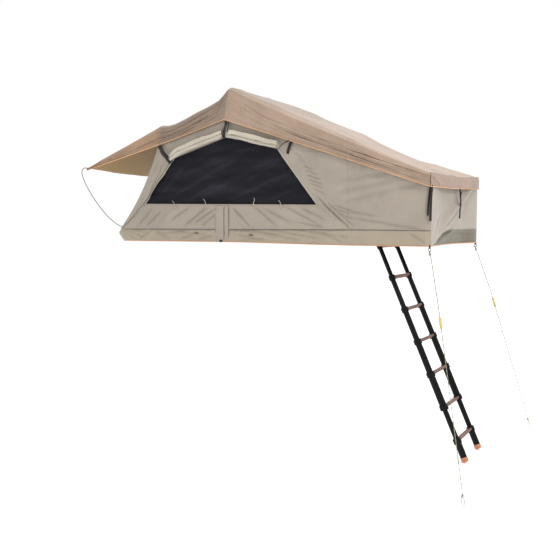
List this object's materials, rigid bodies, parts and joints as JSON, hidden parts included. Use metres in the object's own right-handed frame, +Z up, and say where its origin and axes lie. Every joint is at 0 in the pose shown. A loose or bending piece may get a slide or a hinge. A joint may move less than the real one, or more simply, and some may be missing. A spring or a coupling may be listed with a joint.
{
  "type": "roof top tent",
  "caption": "Fold-out roof top tent with a canvas cabin on folding hoops, a fly with an awning, an end vestibule, a telescopic ladder and guy ropes.",
  "frame": {"origin": "middle of the four rack slots, on the underside of the mounting rails", "axes": "+X along the tent from the fixed half to the fold-out half and the ladder, +Y to the side away from the viewer, +Z up"},
  "size_m": [3.9723, 2.49, 3.2599],
  "materials": {
    "floor_panel": "matte",
    "frame_alloy": "satin",
    "fastener_steel": "satin",
    "bracket_steel": "satin",
    "hoop_tube": "satin",
    "socket_plastic": "matte",
    "mattress_cloth": "matte",
    "wall_canvas": "matte",
    "roll_canvas": "matte",
    "window_net": "matte",
    "fly_cloth": "satin",
    "webbing": "matte",
    "rope": "matte",
    "tensioner_yellow": "gloss",
    "ladder_tube": "satin",
    "ladder_rung": "satin",
    "foot_rubber": "matte"
  },
  "bodies": {
    "base": {"fixed_floor_panel": "floor_panel", "fixed_floor_frame": "frame_alloy", "mounting_rails": "frame_alloy", "rail_bolts": "fastener_steel", "fixed_hinge_plates": "bracket_steel", "hinge_pins": "fastener_steel", "mattress_fixed": "mattress_cloth", "side_walls_fixed": "wall_canvas", "window_mesh_fixed": "window_net", "window_rolls_fixed": "roll_canvas", "skirt_fixed": "wall_canvas", "end_wall_left": "wall_canvas", "window_mesh_end": "window_net", "roof_fixed": "wall_canvas", "awning_rods": "hoop_tube", "rod_sockets": "socket_plastic", "fly_left": "fly_cloth", "roll_straps_fixed": "webbing"},
    "fold_out": {"fold_floor_panel": "floor_panel", "fold_floor_frame": "frame_alloy", "fold_hinge_plates": "bracket_steel", "mattress_fold": "mattress_cloth", "rod_brackets": "bracket_steel", "ladder_brackets": "bracket_steel", "side_walls_fold": "wall_canvas", "window_mesh_fold": "window_net", "window_rolls_fold": "roll_canvas", "skirt_fold": "wall_canvas", "roof_fold": "wall_canvas", "fly_right": "fly_cloth", "roll_straps_fold": "webbing"},
    "hoop_centre": {"centre_hoop": "hoop_tube"},
    "hoop_left": {"left_hoop": "hoop_tube", "fly_awning": "fly_cloth"},
    "hoop_right": {"right_hoop": "hoop_tube"},
    "vestibule": {"vestibule_rods": "hoop_tube", "vestibule_walls": "wall_canvas", "vestibule_end_wall": "wall_canvas", "vestibule_roof": "wall_canvas", "fly_vestibule": "fly_cloth", "end_straps": "webbing", "guy_hooks": "socket_plastic", "guy_rope_near": "rope", "guy_rope_far": "rope", "guy_knots": "rope"},
    "tensioner_a": {"tensioner_near": "tensioner_yellow"},
    "tensioner_b": {"tensioner_far": "tensioner_yellow"},
    "ladder_1": {"ladder_tubes_1": "ladder_tube", "ladder_rungs_1": "ladder_rung"},
    "ladder_2": {"ladder_tubes_2": "ladder_tube", "ladder_rungs_2": "ladder_rung"},
    "ladder_3": {"ladder_tubes_3": "ladder_tube", "ladder_rungs_3": "ladder_rung"},
    "ladder_4": {"ladder_tubes_4": "ladder_tube", "ladder_rungs_4": "ladder_rung"},
    "ladder_5": {"ladder_tubes_5": "ladder_tube", "ladder_rungs_5": "ladder_rung"},
    "ladder_6": {"ladder_foot": "ladder_tube", "ladder_rungs_6": "ladder_rung", "foot_caps": "foot_rubber"}
  },
  "joints": [
    {"name": "floor_fold", "type": "hinge", "parent": "base", "child": "fold_out", "pos_m": [0.6, 0, 0.175], "axis": [0, -1, 0], "range_deg": [0, 180], "deforming": ["side_walls_fixed", "window_mesh_fixed", "window_rolls_fixed", "skirt_fixed", "end_wall_left", "window_mesh_end", "roof_fixed", "fly_left", "roll_straps_fixed", "side_walls_fold", "window_mesh_fold", "window_rolls_fold", "skirt_fold", "roof_fold", "fly_right", "roll_straps_fold", "fly_awning", "vestibule_walls", "vestibule_end_wall", "vestibule_roof", "fly_vestibule", "end_straps", "guy_rope_near", "guy_rope_far", "guy_knots", "guy_hooks"]},
    {"name": "centre_hoop_swing", "type": "hinge", "parent": "base", "child": "hoop_centre", "pos_m": [0.6, 0, 0.175], "axis": [0, -1, 0], "range_deg": [0, 90.5]},
    {"name": "left_hoop_swing", "type": "hinge", "parent": "base", "child": "hoop_left", "pos_m": [0.6, 0, 0.175], "axis": [0, -1, 0], "range_deg": [0, 49.4]},
    {"name": "right_hoop_swing", "type": "hinge", "parent": "base", "child": "hoop_right", "pos_m": [0.6, 0, 0.175], "axis": [0, -1, 0], "range_deg": [0, 133.5]},
    {"name": "vestibule_fold", "type": "hinge", "parent": "fold_out", "child": "vestibule", "pos_m": [1.78, 0, 0.138], "axis": [0, -1, 0], "range_deg": [0, 154.5]},
    {"name": "ladder_swing", "type": "hinge", "parent": "fold_out", "child": "ladder_1", "pos_m": [1.862, 0, -0.015], "axis": [0, -1, 0], "range_deg": [-110, 20]},
    {"name": "ladder_slide_2", "type": "slide", "parent": "ladder_1", "child": "ladder_2", "axis": [-0.4015, 0, 0.9159], "range_m": [0, 0.225]},
    {"name": "ladder_slide_3", "type": "slide", "parent": "ladder_2", "child": "ladder_3", "axis": [-0.4015, 0, 0.9159], "range_m": [0, 0.225]},
    {"name": "ladder_slide_4", "type": "slide", "parent": "ladder_3", "child": "ladder_4", "axis": [-0.4015, 0, 0.9159], "range_m": [0, 0.225]},
    {"name": "ladder_slide_5", "type": "slide", "parent": "ladder_4", "child": "ladder_5", "axis": [-0.4015, 0, 0.9159], "range_m": [0, 0.225]},
    {"name": "foot_slide", "type": "slide", "parent": "ladder_5", "child": "ladder_6", "axis": [-0.4015, 0, 0.9159], "range_m": [0, 0.08]},
    {"name": "tensioner_slide_near", "type": "slide", "parent": "vestibule", "child": "tensioner_a", "axis": [-0.2232, 0.2678, 0.9373], "range_m": [0, 0.08]},
    {"name": "tensioner_slide_far", "type": "slide", "parent": "vestibule", "child": "tensioner_b", "axis": [-0.2232, -0.2678, 0.9373], "range_m": [0, 0.08]}
  ],
  "couplings": [
    {"joint": "centre_hoop_swing", "follows": "floor_fold", "ratio": 0.5},
    {"joint": "left_hoop_swing", "follows": "floor_fold", "ratio": 0.27167},
    {"joint": "right_hoop_swing", "follows": "floor_fold", "ratio": 0.73889},
    {"joint": "vestibule_fold", "follows": "floor_fold", "ratio": 0.85528},
    {"joint": "ladder_slide_3", "follows": "ladder_slide_2", "ratio": 1},
    {"joint": "ladder_slide_4", "follows": "ladder_slide_2", "ratio": 1},
    {"joint": "ladder_slide_5", "follows": "ladder_slide_2", "ratio": 1}
  ]
}
